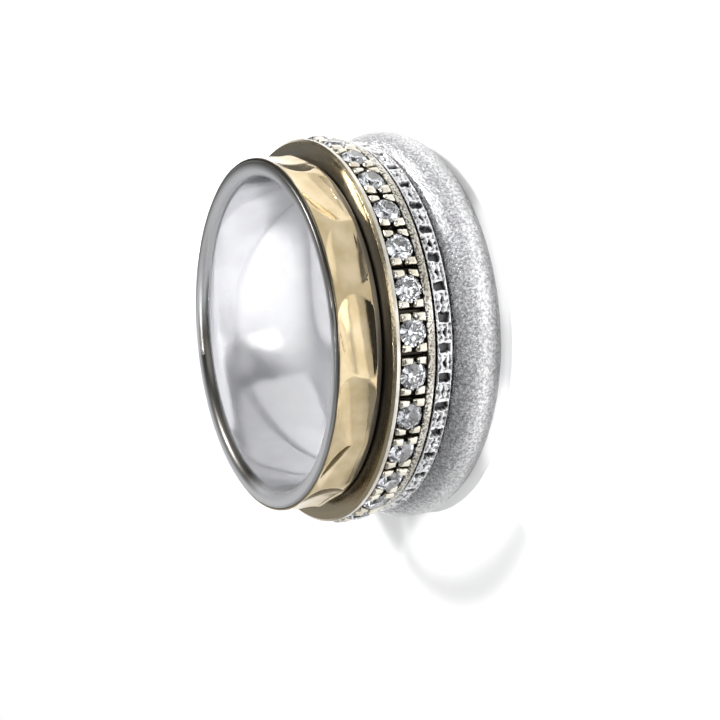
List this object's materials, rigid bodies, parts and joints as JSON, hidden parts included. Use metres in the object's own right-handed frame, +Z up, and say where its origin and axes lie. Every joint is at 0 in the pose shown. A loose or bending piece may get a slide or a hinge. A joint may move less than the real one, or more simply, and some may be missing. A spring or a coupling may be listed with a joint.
{
  "type": "spinner ring",
  "caption": "Finger ring with a silver sleeve, a hammered gold band, a frosted domed band, and a stone-set band and a narrow textured band that spin between them.",
  "frame": {"origin": "centre of the finger bore at the floor, where the domed band's side rests", "axes": "+Z up along the finger bore, from the domed band to the hammered band; -Y is the side towards the picture's camera"},
  "size_m": [0.022, 0.022, 0.0094],
  "materials": {
    "polished_silver": "polished sterling silver",
    "hammered_gold": "polished, hammered pale gold",
    "setting_gold": "polished pale gold, blackened in the grooves",
    "textured_silver": "cast silver, blackened in the wells",
    "frosted_silver": "frosted silver with a fine sparkling grain",
    "clear_stone": "clear, brilliant cut"
  },
  "bodies": {
    "sleeve": {"inner_sleeve": "polished_silver", "hammered_band": "hammered_gold", "domed_band": "frosted_silver"},
    "stone_band": {"stone_band": "setting_gold", "stone_01": "clear_stone", "stone_02": "clear_stone", "stone_03": "clear_stone", "stone_04": "clear_stone", "stone_05": "clear_stone", "stone_06": "clear_stone", "stone_07": "clear_stone", "stone_08": "clear_stone", "stone_09": "clear_stone", "stone_10": "clear_stone", "stone_11": "clear_stone", "stone_12": "clear_stone", "stone_13": "clear_stone", "stone_14": "clear_stone", "stone_15": "clear_stone", "stone_16": "clear_stone", "stone_17": "clear_stone", "stone_18": "clear_stone", "stone_19": "clear_stone", "stone_20": "clear_stone", "stone_21": "clear_stone", "stone_22": "clear_stone", "stone_23": "clear_stone", "stone_24": "clear_stone", "stone_25": "clear_stone", "stone_26": "clear_stone", "stone_27": "clear_stone", "stone_28": "clear_stone", "stone_29": "clear_stone", "stone_30": "clear_stone"},
    "textured_band": {"textured_band": "textured_silver"}
  },
  "joints": [
    {"name": "stone_band_spin", "type": "hinge", "parent": "sleeve", "child": "stone_band", "pos_m": [0, 0, 0.00552], "axis": [0, 0, 1], "continuous": true},
    {"name": "textured_band_spin", "type": "hinge", "parent": "sleeve", "child": "textured_band", "pos_m": [0, 0, 0.0037], "axis": [0, 0, 1], "continuous": true}
  ]
}
